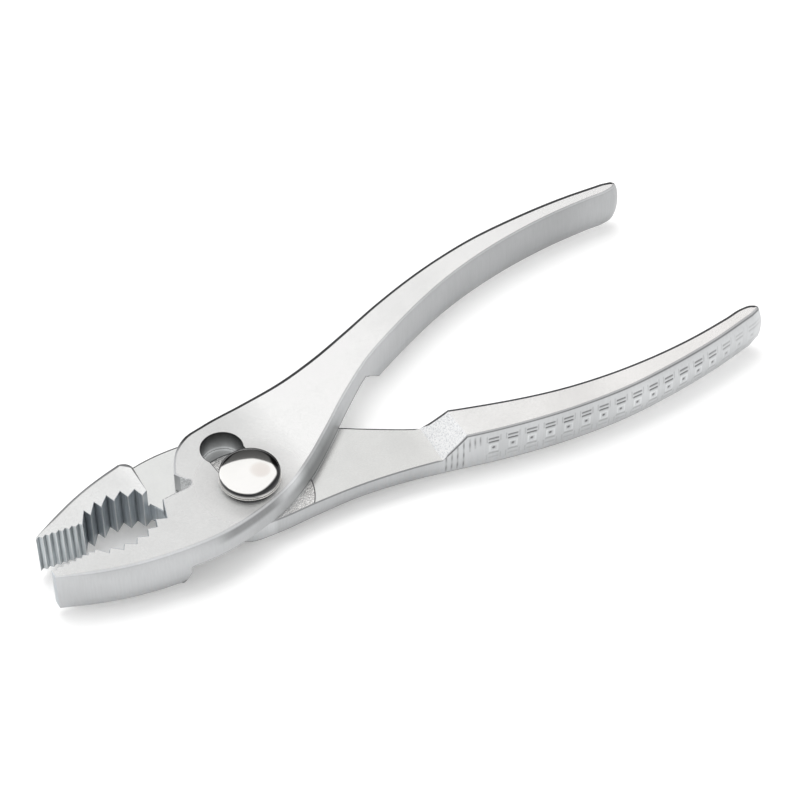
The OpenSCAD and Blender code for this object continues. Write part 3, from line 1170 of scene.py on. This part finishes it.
@dataclass
class JointPieces:
    """The bolt, its washer and the nut, all on the part's upright axis. Sizes in millimetres.

    A head_line or washer_line tells how dark each point of the profile is painted: painted
    shade under the head and at the washer's foot, and a painted dark line round the top of the
    head's rim.
    """

    steps: int = 128
    nut_t: float = 2.4
    nut_af: float = 10.0
    nut_steps: int = 144
    nut_cone: float = 27.0
    nut_edge: float = 0.1
    nut_mouth: float = 0.3
    top_z: float = 12.3
    washer_t: float = 1.5
    washer_r: float = 6.5
    washer_line: tuple[float, ...] = (1, 1.1, 1.1, 1.0, 0.4, 0.2, 0.2, 0.3, 0.5, 0.9)
    bore_r: float = 4.45
    edge_c: float = 0.4
    head_r: float = 6.36
    head_soft: float = 0.25
    head_line: tuple[float, ...] = (1.0, 1.0, 1.0, 1.0, 0.7, 0.4, 0.25, 0.25, 0.95, 1.1)
    rim_h: float = 1.4
    crown_h: float = 2.35
    crown_steps: int = 46
    crown_line: float = 1.1
    shank_r: float = 4.4
    flats: float = 7.9
    shank_steps: int = 32
    thread_r: float = 3.0
    thread_h: float = 0.14
    thread_pitch: float = 0.7
    thread_gap: float = 0.05

    def crown_shade(self) -> np.ndarray:
        """A dark line round the crown's foot, broad where the edge turns away from the light.

        Returns:
            How dark each point of the crown is, one row a level.
        """
        turn = full_turn(self.steps)
        away = FAR_X * np.cos(turn) + FAR_Y * np.sin(turn)
        right = FAR_Y * np.cos(turn) - FAR_X * np.sin(turn)
        beside = eased(right, 0.1, 0.95) * (1 - eased(away, 0, 0.6))
        foot = 8 + 32 * eased(away, -0.3, 0.5) + 16 * beside
        up = np.linspace(0, 90, self.crown_steps)[:, None]
        return self.crown_line * (1 - eased(up, foot - 3, foot + 4))

    def bolt(self) -> bpy.types.Object:
        """Domed head, shank with two flats and threaded end.

        The head's side is a straight rim under an elliptical crown. The shank is a circle cut
        by its flats. The thread's radius rises and falls with height in even waves.

        Returns:
            The bolt.
        """
        base, r, soft = self.top_z + self.washer_t, self.head_r, self.head_soft
        rim = base + self.rim_h
        profile = [[0, base], [r - soft, base]]
        profile += arc_profile((r - soft, base + soft), (soft, soft), -90, 0, 6)
        profile += [[r, rim - 0.5], [r, rim - 0.4]]
        profile += arc_profile((0, rim), (r, self.crown_h), 0, 90, self.crown_steps)
        side = np.array(self.head_line)[:, None] * np.ones(self.steps)
        shell = Shell()
        shell.add_turned(profile, self.steps, np.concatenate([side, self.crown_shade()]))
        loop = flatted_circle(self.shank_r, self.flats / 2, self.shank_steps)
        z = np.array([self.nut_t, self.nut_t + 0.3, base + 0.5])[:, None, None]
        xy = loop * np.array([0.93, 1, 1])[:, None, None]
        rows = shell.add_points(np.concatenate([xy, np.broadcast_to(z, (*xy.shape[:2], 1))], axis=-1))
        shell.add_quads(rows, True)
        shell.add_cap(rows[0][::-1], Zone.WALL)
        shell.add_cap(rows[-1], Zone.WALL)
        up = np.linspace(self.edge_c, self.nut_t + self.edge_c, 33)
        wave = self.thread_h * np.cos(2 * np.pi * (up - up[0]) / self.thread_pitch)
        thread = np.stack([self.thread_r - self.thread_h + wave, up], axis=1).tolist()
        end = [[0, 0], [1.1, 0], [self.thread_r - self.edge_c, 0]]
        shell.add_turned(end + thread + [[0, float(up[-1])]], self.steps // 2)
        return shell.to_piece("pivot_bolt_domed", "keyed_side", "pivot_bolt", "bolt_steel", np.eye(4))

    def washer(self) -> bpy.types.Object:
        """Flat ring whose side slopes inwards from its upper edge down to its foot.

        Returns:
            The washer.
        """
        low, top = self.top_z, self.top_z + self.washer_t
        r, c = self.washer_r, self.edge_c
        profile = [
            [self.bore_r, low],
            [r - 0.78, low],
            [r - 0.74, low + 0.05],
            [r - 0.7, low + 0.6],
            [r - 0.4, top - c - 0.06],
            [r - 0.14, top - 0.2],
            [r, top - 0.12],
            [r, top],
            [self.bore_r, top],
            [self.bore_r, low],
        ]
        shell = Shell()
        shell.add_turned(profile, self.steps, np.array(self.washer_line)[:, None])
        return shell.to_piece("washer_ring", "slip_carrier", "washer", "washer_steel", np.eye(4))

    def nut(self) -> bpy.types.Object:
        """Thin six-sided nut.

        At an angle the radius is the flat's distance over the cosine of the turn from the
        flat's middle, and never more than the chamfer's cone at that height.

        Returns:
            The nut.
        """
        angle = full_turn(self.nut_steps)
        half, inner, mouth = self.nut_af / 2, self.thread_r + self.thread_gap, self.nut_mouth
        flat = half / np.cos((angle % (np.pi / 3)) - np.pi / 6)
        upper = [self.nut_t - self.nut_edge, self.nut_t, self.nut_t, mouth, 0]
        z = np.concatenate([[0, 0, 0], np.linspace(0.04, 0.55, 8), upper])[:, None]
        cone = half - 0.05 + z / math.tan(math.radians(self.nut_cone))
        r = np.minimum(flat, cone)
        r[:3] = np.array([inner + mouth, half - 0.4, half - 0.05])[:, None]
        r[-4] -= self.nut_edge
        r[-3:] = np.array([inner, inner, inner + mouth])[:, None]
        grid = np.stack(np.broadcast_arrays(r * np.cos(angle), r * np.sin(angle), z), axis=-1)
        shell = Shell()
        shell.add_quads(shell.add_points(grid), True)
        return shell.to_piece("pivot_nut_hexagon", "keyed_side", "pivot_nut", "nut_steel", np.eye(4))


# Finishes


@dataclass(frozen=True)
class Graph:
    """A node tree with short calls that add nodes and join them."""

    tree: bpy.types.NodeTree

    def add(self, kind: str) -> bpy.types.Node:
        """A new node, whose kind is named without the words ShaderNode."""
        return self.tree.nodes.new("ShaderNode" + kind)

    def feed(self, socket: Socket, value: object) -> None:
        """Joins an output to a socket, or sets the socket to a value."""
        if isinstance(value, Socket):
            self.tree.links.new(value, socket)
        else:
            socket.default_value = value

    def join(self, node: bpy.types.Node, inputs: dict[str | int, object]) -> bpy.types.NodeOutputs:
        """Feeds a node.

        Args:
            node: The node.
            inputs: Outputs or values for its sockets, by name or number.

        Returns:
            The node's outputs.
        """
        for key, value in inputs.items():
            self.feed(node.inputs[key], value)
        return node.outputs

    def maths(self, kind: str, *terms: float | Socket) -> Socket:
        """One sum.

        Args:
            kind: The sum's kind.
            terms: Outputs or values, in the order of the node's sockets.

        Returns:
            The result.
        """
        node = self.add("Math")
        node.operation = kind
        return self.join(node, dict(enumerate(terms)))[0]

    def product(self, *terms: float | Socket) -> Socket:
        """All the terms multiplied together, from the first on."""
        return reduce(lambda one, two: self.maths("MULTIPLY", one, two), terms)

    def vector(self, kind: str, inputs: dict[str | int, object]) -> bpy.types.NodeOutputs:
        """One sum on vectors.

        Args:
            kind: The sum's kind.
            inputs: Outputs or values for the node's sockets, by name or number.

        Returns:
            The node's outputs.
        """
        node = self.add("VectorMath")
        node.operation = kind
        return self.join(node, inputs)

    def mixed(self, share: Socket, one: Colour | Socket, two: Colour | Socket, blend: str = "MIX") -> Socket:
        """Two colours mixed.

        Args:
            share: How much of the second shows.
            one: The first colour.
            two: The second colour.
            blend: How the second goes over the first.

        Returns:
            The mixed colour.
        """
        node = self.add("Mix")
        node.data_type, node.blend_type = "RGBA", blend
        first, second = ((*c, 1) if isinstance(c, tuple) else c for c in (one, two))
        return self.join(node, {"Factor": share, 6: first, 7: second})[2]

    def noise(self, place: Socket, scale: float | Socket, detail: float) -> Socket:
        """Noise of one size."""
        inputs = {"Vector": place, "Scale": scale, "Detail": detail}
        return self.join(self.add("TexNoise"), inputs)["Fac"]

    def graded(self, value: Socket, stops: Stops) -> Socket:
        """A grey that follows a value.

        Args:
            value: The value.
            stops: Places, rising, and the grey at each.

        Returns:
            The grey.
        """
        node = self.add("ValToRGB")
        elements = node.color_ramp.elements
        elements[0].position, elements[1].position = stops[0][0], stops[-1][0]
        for place, _ in stops[1:-1]:
            elements.new(place)
        for element, (_, grey) in zip(elements, stops):
            element.color = (grey, grey, grey, 1)
        return self.join(node, {"Fac": value})["Color"]

    def mask(self, name: str) -> Socket:
        """A face or point value of the mesh, by name."""
        node = self.add("Attribute")
        node.attribute_name = name
        return node.outputs["Fac"]


def fine_grain_group() -> bpy.types.NodeTree:
    """Shared effect: metal grain, as a height and a mottle, from noise at two sizes.

    Returns:
        The node group.
    """
    group = bpy.data.node_groups.new("Fine grain", "ShaderNodeTree")
    face = group.interface
    face.new_socket("Vector", in_out="INPUT", socket_type="NodeSocketVector")
    for name in ("Grain size", "Patch size"):
        face.new_socket(name, in_out="INPUT", socket_type="NodeSocketFloat")
    for name in ("Height", "Mottle"):
        face.new_socket(name, in_out="OUTPUT", socket_type="NodeSocketFloat")
    came = group.nodes.new("NodeGroupInput").outputs
    goes = group.nodes.new("NodeGroupOutput").inputs
    graph = Graph(group)
    graph.feed(goes["Height"], graph.noise(came["Vector"], came["Grain size"], 3))
    graph.feed(goes["Mottle"], graph.noise(came["Vector"], came["Patch size"], 4))
    return group


@dataclass(frozen=True)
class SteelFinish:
    """Plated steel whose look changes with the zone of the surface.

    The first colours are the zones' own. crest is a painted highlight on the teeth's tips and
    root painted shade in their roots. pad is the blasted round on the lap, ring the painted shade
    line of the groove round it and edge the painted dark line along a face. tones holds places
    along the tool in millimetres, and the painted light and shade that the colour is multiplied
    by at each. The radii are in millimetres, and the noise sizes are for lengths in metres.
    """

    name: str
    polish: Colour = (0.995, 1.0, 0.995)
    wall: Colour = (0.64, 0.65, 0.66)
    teeth: Colour = (0.60, 0.64, 0.67)
    fine: Colour = (0.66, 0.70, 0.72)
    blast: Colour = (0.97, 0.98, 0.99)
    lap: Colour = (0.86, 0.87, 0.86)
    # Painted highlight on the tooth tips and painted shade in their roots.
    crest: Colour = (1.0, 1.0, 1.0)
    root: Colour = (0.08, 0.09, 0.10)
    pad: Colour = (0.93, 0.93, 0.92)
    # A painted shade line for the groove round the pad.
    ring: Colour = (0.10, 0.10, 0.11)
    # The painted dark line along a face's edges.
    edge: Colour = (0.025, 0.025, 0.027)
    crest_power: float = 13.0
    root_power: float = 5.0
    root_share: float = 0.35
    ring_share: float = 0.8
    edge_share: float = 0.9
    # How strong the painted shade in the stamped recesses is.
    recess_share: float = 0.75
    # Painted light and shade along the tool.
    tones: Stops = ((0, 1), (1, 1))
    tones_from: float = -50.0
    tones_span: float = 170.0
    rough_polish: float = 0.19
    rough_wall: float = 0.38
    rough_blast: float = 0.4
    rough_mottle: float = 0.08
    pad_r: float = 0.0
    pad_ring: float = 0.14
    # Round the bolt, out to a radius and fading over a width, the polish is rougher and painted paler, a
    # painted highlight.
    bolt_ring_r: float = 0.0
    bolt_ring_w: float = 6.0
    bolt_ring_highlight: float = 0.17
    bolt_ring_rough: float = 0.3
    grain_size: float = 2600.0
    patch_size: float = 110.0
    mottle: Pair = (0.22, 0.89)
    streak_size: Place = (2600, 2600, 130)
    streaks: float = 0.15
    tooth_streaks: float = 0.75
    speck_size: float = 3200.0
    specks: float = 1.1
    grain_depth: float = 0.06
    blast_depth: float = 0.9
    bump_strength: float = 0.55
    bump_height: float = 0.25

    def masks(self, graph: Graph, place: Socket) -> dict[str, Socket]:
        """The mesh's own values, and the places that are made of them.

        Args:
            graph: The material's nodes.
            place: Where the surface is.

        Returns:
            The masks by name. teeth covers both rows, plain the walls and the teeth, even the
            smooth faces and rough the blasted places. The pad, the painted shade line round it and the
            rougher ring round the bolt with its painted highlight are there only in a finish that has them.
        """
        maths, product = graph.maths, graph.product
        mask = {name: graph.mask(name) for name in ("polish", "fine", "blast", "lap", *POINT_VALUES)}
        mask["teeth"] = maths("ADD", graph.mask("teeth"), mask["fine"])
        mask["even"] = maths("MAXIMUM", mask["polish"], mask["lap"])
        mask["plain"] = maths("SUBTRACT", 1.0, maths("MAXIMUM", mask["even"], mask["blast"]))
        mask["rough"] = mask["blast"]
        if self.pad_r or self.bolt_ring_r:
            level = graph.vector("MULTIPLY", {0: place, 1: (1, 1, 0)})[0]
            radius = graph.vector("LENGTH", {0: level})["Value"]
        if self.pad_r:
            apart = maths("ABSOLUTE", maths("SUBTRACT", radius, self.pad_r * MM))
            mask["pad"] = product(mask["lap"], maths("LESS_THAN", radius, self.pad_r * MM))
            mask["ring"] = product(mask["lap"], maths("LESS_THAN", apart, self.pad_ring * MM))
            mask["rough"] = maths("MAXIMUM", mask["blast"], mask["pad"])
        if self.bolt_ring_r:
            # Round the bolt the polish is rougher, and its colour is paler: a painted highlight.
            fade = graph.add("MapRange")
            fade.interpolation_type = "SMOOTHSTEP"
            limits = {"From Min": self.bolt_ring_r * MM, "From Max": (self.bolt_ring_r - self.bolt_ring_w) * MM}
            mask["rubbed"] = product(graph.join(fade, {"Value": radius, **limits})[0], mask["polish"])
        return mask

    def colour(self, graph: Graph, mask: dict[str, Socket]) -> Socket:
        """The colour by zone, with the painted highlight on the teeth's crests, painted shade in their
        roots, the pad and the painted dark lines.

        Args:
            graph: The material's nodes.
            mask: The masks by name.

        Returns:
            The colour.
        """
        maths, product, mixed = graph.maths, graph.product, graph.mixed
        # Painted highlight on the tooth crests and painted shade in their roots.
        crest = maths("POWER", mask["ridge"], self.crest_power)
        root = maths("POWER", maths("SUBTRACT", 1.0, mask["ridge"]), self.root_power)
        bare = maths("SUBTRACT", mask["plain"], mask["teeth"])
        coats = [
            (mask["teeth"], self.teeth),
            (mask["fine"], self.fine),
            (mask["blast"], self.blast),
            (mask["lap"], self.lap),
            (product(mask["teeth"], crest), self.crest),
            (product(mask["teeth"], root, self.root_share), self.root),
        ]
        if self.pad_r:
            # The blasted pad, and a painted shade line for the groove round it.
            coats += [(mask["pad"], self.pad), (product(mask["ring"], self.ring_share), self.ring)]
        # Painted dark lines along the edges.
        coats += [(product(mask["rim"], bare, self.edge_share), self.edge)]
        colour = mixed(mask["polish"], self.wall, self.polish)
        for share, tint in coats:
            colour = mixed(share, colour, tint)
        return colour

    def lightness(self, graph: Graph, mask: dict[str, Socket], place: Socket, mottle: Socket) -> Socket:
        """What the colour is multiplied by: patches, painted shade in recesses, painted light and shade on
        the walls and along the tool, streaks, specks and a painted highlight round the bolt.

        Args:
            graph: The material's nodes.
            mask: The masks by name.
            place: Where the surface is.
            mottle: The shared effect's patches.

        Returns:
            The factor.
        """
        maths, product = graph.maths, graph.product
        patches = maths("MULTIPLY_ADD", mottle, *self.mottle)
        # Painted shade in the stamped recesses.
        shade = maths("SUBTRACT", 1.0, product(mask["recess"], mask["plain"], self.recess_share))
        # The walls' painted light and shade, from the points' tone.
        local = maths("MULTIPLY_ADD", maths("SUBTRACT", mask["tone"], 1.0), mask["plain"], 1.0)
        stretched = graph.join(graph.add("Mapping"), {"Vector": place, "Scale": self.streak_size})[0]
        uneven = maths("SUBTRACT", graph.noise(stretched, 1.0, 3), 0.5)
        strength = maths("MULTIPLY_ADD", mask["teeth"], self.tooth_streaks, self.streaks)
        streaked = maths("MULTIPLY_ADD", uneven, strength, 1.0)
        x = graph.join(graph.add("SeparateXYZ"), {0: place})[0]
        # Painted light and shade along the tool.
        along = maths("MULTIPLY_ADD", x, 1 / (self.tones_span * MM), -self.tones_from / self.tones_span)
        stops = tuple(((spot - self.tones_from) / self.tones_span, tone) for spot, tone in self.tones)
        speck = graph.noise(place, self.speck_size, 1)
        grit = maths("MULTIPLY_ADD", speck, self.specks, -self.specks / 2)
        sparkle = maths("MULTIPLY_ADD", grit, mask["rough"], 1.0)
        factor = product(patches, shade, local, streaked, graph.graded(along, stops), sparkle)
        # Painted highlight: the colour is paler round the bolt.
        if self.bolt_ring_r:
            factor = product(factor, maths("MULTIPLY_ADD", mask["rubbed"], self.bolt_ring_highlight, 1.0))
        return factor

    def roughness(self, graph: Graph, mask: dict[str, Socket], mottle: Socket) -> Socket:
        """How rough the surface is, by zone.

        Args:
            graph: The material's nodes.
            mask: The masks by name.
            mottle: The shared effect's patches.

        Returns:
            The roughness.
        """
        maths = graph.maths
        rough = maths("MULTIPLY_ADD", mask["even"], self.rough_polish - self.rough_wall, self.rough_wall)
        rough = maths("MULTIPLY_ADD", mask["rough"], self.rough_blast - self.rough_wall, rough)
        if self.bolt_ring_r:
            rough = maths("MULTIPLY_ADD", mask["rubbed"], self.bolt_ring_rough, rough)
        return maths("MULTIPLY_ADD", mottle, self.rough_mottle, rough)

    def material(self, grain: bpy.types.NodeTree) -> bpy.types.Material:
        """Builds the material.

        Args:
            grain: The shared grain effect.

        Returns:
            A material whose colour, roughness and bump follow the zones.
        """
        mat = bpy.data.materials.new(self.name)
        mat.use_nodes = True
        graph = Graph(mat.node_tree)
        place = graph.add("TexCoord").outputs["Object"]
        node = graph.add("Group")
        node.node_tree = grain
        sizes = {"Grain size": self.grain_size, "Patch size": self.patch_size}
        effect = graph.join(node, {"Vector": place, **sizes})
        mask = self.masks(graph, place)
        factor = self.lightness(graph, mask, place, effect["Mottle"])
        scaled = graph.vector("SCALE", {0: self.colour(graph, mask), "Scale": factor})[0]
        depth = graph.maths("MULTIPLY_ADD", mask["rough"], self.blast_depth, self.grain_depth)
        height = graph.product(effect["Height"], depth)
        limits = {"Strength": self.bump_strength, "Distance": self.bump_height * MM}
        bump = graph.join(graph.add("Bump"), {**limits, "Height": height})["Normal"]
        shader = mat.node_tree.nodes["Principled BSDF"].inputs
        shader["Metallic"].default_value = 1.0
        graph.feed(shader["Base Color"], scaled)
        graph.feed(shader["Roughness"], self.roughness(graph, mask, effect["Mottle"]))
        graph.feed(shader["Normal"], bump)
        return mat


def bright_finish(name: str, rough_polish: float, rough_wall: float) -> SteelFinish:
    """Mirror-bright plating with no grain.

    Args:
        name: The finish's name.
        rough_polish: Roughness of its polished places.
        rough_wall: Roughness of the rest.

    Returns:
        The finish.
    """
    bright = (0.96, 0.95, 0.93)
    return SteelFinish(
        name,
        polish=bright,
        wall=bright,
        rough_polish=rough_polish,
        rough_wall=rough_wall,
        grain_depth=0.0,
        streaks=0.0,
    )


# The stage


@dataclass
class Stage:
    """Floor, lamp, world and camera. Lengths are in millimetres.

    far_side grades the world's light from the near side to the far one, and patch from all
    other directions to the middle of the warm patch.
    """

    eye: Place = (-167.7, -298.9, 396.3)
    aim: Place = (38.40, 1.61, 12.3)
    lens: float = 112.5
    lamp_place: Place = (70, 250, 820)
    lamp_aim: Place = (35, 5, 0)
    lamp_size: float = 480.0
    lamp_power: float = 2.6
    floor_half: float = 2500.0
    floor_low: Colour = (0.95, 0.95, 0.95)
    floor_high: Colour = (0.97, 0.97, 0.965)
    floor_grain: float = 900.0
    floor_glow: float = 0.09
    far_side: Stops = ((0.0, 1.0), (0.80, 1.0), (0.815, 0.13), (1.0, 0.07))
    side_share: float = 0.12
    patch_way: Place = (0.487, 0.309, 0.816)
    patch: Stops = ((0.0, 0.0), (0.955, 0.0), (0.975, 0.8), (0.999, 1.0))
    patch_colour: Colour = (0.86, 0.82, 0.80)

    def aimed(self, name: str, data: bpy.types.ID, place: Place, aim: Place) -> bpy.types.Object:
        """Puts a lamp or a camera at one place so that it looks at another.

        Args:
            name: The object's name.
            data: The lamp or the camera.
            place: Where it is.
            aim: Where it looks.

        Returns:
            The object, linked to the scene.
        """
        obj = bpy.data.objects.new(name, data)
        here, there = Vector(place) * MM, Vector(aim) * MM
        obj.location = here
        obj.rotation_euler = (there - here).to_track_quat("-Z", "Y").to_euler()
        bpy.context.scene.collection.objects.link(obj)
        return obj

    def camera(self) -> None:
        """Sets the camera at the photograph's place."""
        data = bpy.data.cameras.new("camera")
        data.lens, data.sensor_width = self.lens, 36
        data.clip_start, data.clip_end = 0.01, 20
        bpy.context.scene.camera = self.aimed("camera", data, self.eye, self.aim)

    def lamp(self) -> None:
        """A soft square lamp over the tool, which shows in no reflection."""
        data = bpy.data.lights.new("key", "AREA")
        data.shape, data.size, data.size_y = "RECTANGLE", self.lamp_size * MM, self.lamp_size * MM
        data.energy = self.lamp_power
        self.aimed("key", data, self.lamp_place, self.lamp_aim).visible_glossy = False

    def floor(self) -> None:
        """A plain pale floor that is white to the camera."""
        h = self.floor_half * MM
        mesh = bpy.data.meshes.new("floor")
        mesh.from_pydata([(-h, -h, 0), (h, -h, 0), (h, h, 0), (-h, h, 0)], [], [(0, 1, 2, 3)])
        obj = bpy.data.objects.new("floor", mesh)
        bpy.context.scene.collection.objects.link(obj)
        mat = bpy.data.materials.new("pale floor")
        mat.use_nodes = True
        graph = Graph(mat.node_tree)
        shader = mat.node_tree.nodes["Principled BSDF"].inputs
        shader["Roughness"].default_value = 0.9
        shader["Specular IOR Level"].default_value = 0.0
        shader["Emission Color"].default_value = (1, 1, 1, 1)
        cloud = graph.noise(graph.add("TexCoord").outputs["Object"], self.floor_grain, 2)
        graph.feed(shader["Base Color"], graph.mixed(cloud, self.floor_low, self.floor_high))
        seen = graph.add("LightPath").outputs["Is Camera Ray"]
        graph.feed(shader["Emission Strength"], graph.product(seen, self.floor_glow))
        mesh.materials.append(mat)
        obj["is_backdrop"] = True

    def world(self) -> None:
        """White to the camera. To the tool it is bright, dark on the far side, with a warm patch.

        The bolt's head mirrors the patch.
        """
        world = bpy.data.worlds.new("studio")
        world.use_nodes = True
        bpy.context.scene.world = world
        graph = Graph(world.node_tree)
        sky = graph.add("TexCoord").outputs["Generated"]

        def along(way: Place) -> Socket:
            """How far a direction goes along a way."""
            return graph.vector("DOT_PRODUCT", {0: sky, 1: way})["Value"]

        beside = graph.maths("ABSOLUTE", along((FAR_Y, -FAR_X, 0)))
        beyond = graph.maths("MULTIPLY_ADD", beside, self.side_share, along((FAR_X, FAR_Y, 0)))
        dome = graph.graded(beyond, self.far_side)
        warm = graph.graded(along(self.patch_way), self.patch)
        lit = graph.mixed(warm, dome, self.patch_colour, "MULTIPLY")
        seen = graph.add("LightPath").outputs["Is Camera Ray"]
        back = world.node_tree.nodes["Background"].inputs
        back["Strength"].default_value = 1.0
        graph.feed(back["Color"], graph.mixed(seen, lit, (1, 1, 1)))

    def build(self) -> None:
        """Puts up the whole stage."""
        self.camera()
        self.floor()
        self.world()
        self.lamp()
        bpy.context.scene.view_settings.view_transform = "Standard"


# Places along the tool and the painted light and shade of each half's steel there.
SLOTTED_TONES = (
    (-45, 0.77),
    (-8, 0.76),
    (2, 0.72),
    (7, 0.78),
    (14, 1.0),
    (38, 1.0),
    (50, 0.94),
    (62, 0.93),
    (80, 1.0),
)
KEYED_TONES = (
    (-22, 0.84),
    (-18, 0.95),
    (0, 0.94),
    (16, 0.9),
    (36, 0.9),
    (40, 0.98),
    (46, 0.93),
    (72, 0.9),
    (82, 1.0),
)


def main() -> None:
    """Builds the pieces in order and reports each."""
    logging.basicConfig(level=logging.INFO, format="%(name)s: %(message)s")
    grain = fine_grain_group()
    grey = (0.62, 0.62, 0.62)
    joint = JointPieces()
    for obj, finish in (
        (ForgedHalf().build(), SteelFinish("slotted half steel", bolt_ring_r=13.0, tones=SLOTTED_TONES)),
        (KeyedHalf().build(), SteelFinish("keyed half steel", pad_r=13.2, tones=KEYED_TONES)),
        (joint.bolt(), bright_finish("bolt steel", 0.04, 0.05)),
        (joint.washer(), bright_finish("washer steel", 0.1, 0.1)),
        (joint.nut(), SteelFinish("nut steel", polish=grey, wall=grey, rough_polish=0.3, rough_wall=0.3)),
    ):
        obj.data.materials.append(finish.material(grain))
        log.info("%s dressed", obj.name)
    Stage().build()
    boxes = [[list(map(float, corner)) for corner in box] for box in (CAD_BOX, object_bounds())]
    log.info("boxes in millimetres: %s", np.round(np.array(boxes) * 1000, 2).tolist())


if __name__ == "__main__":
    main()
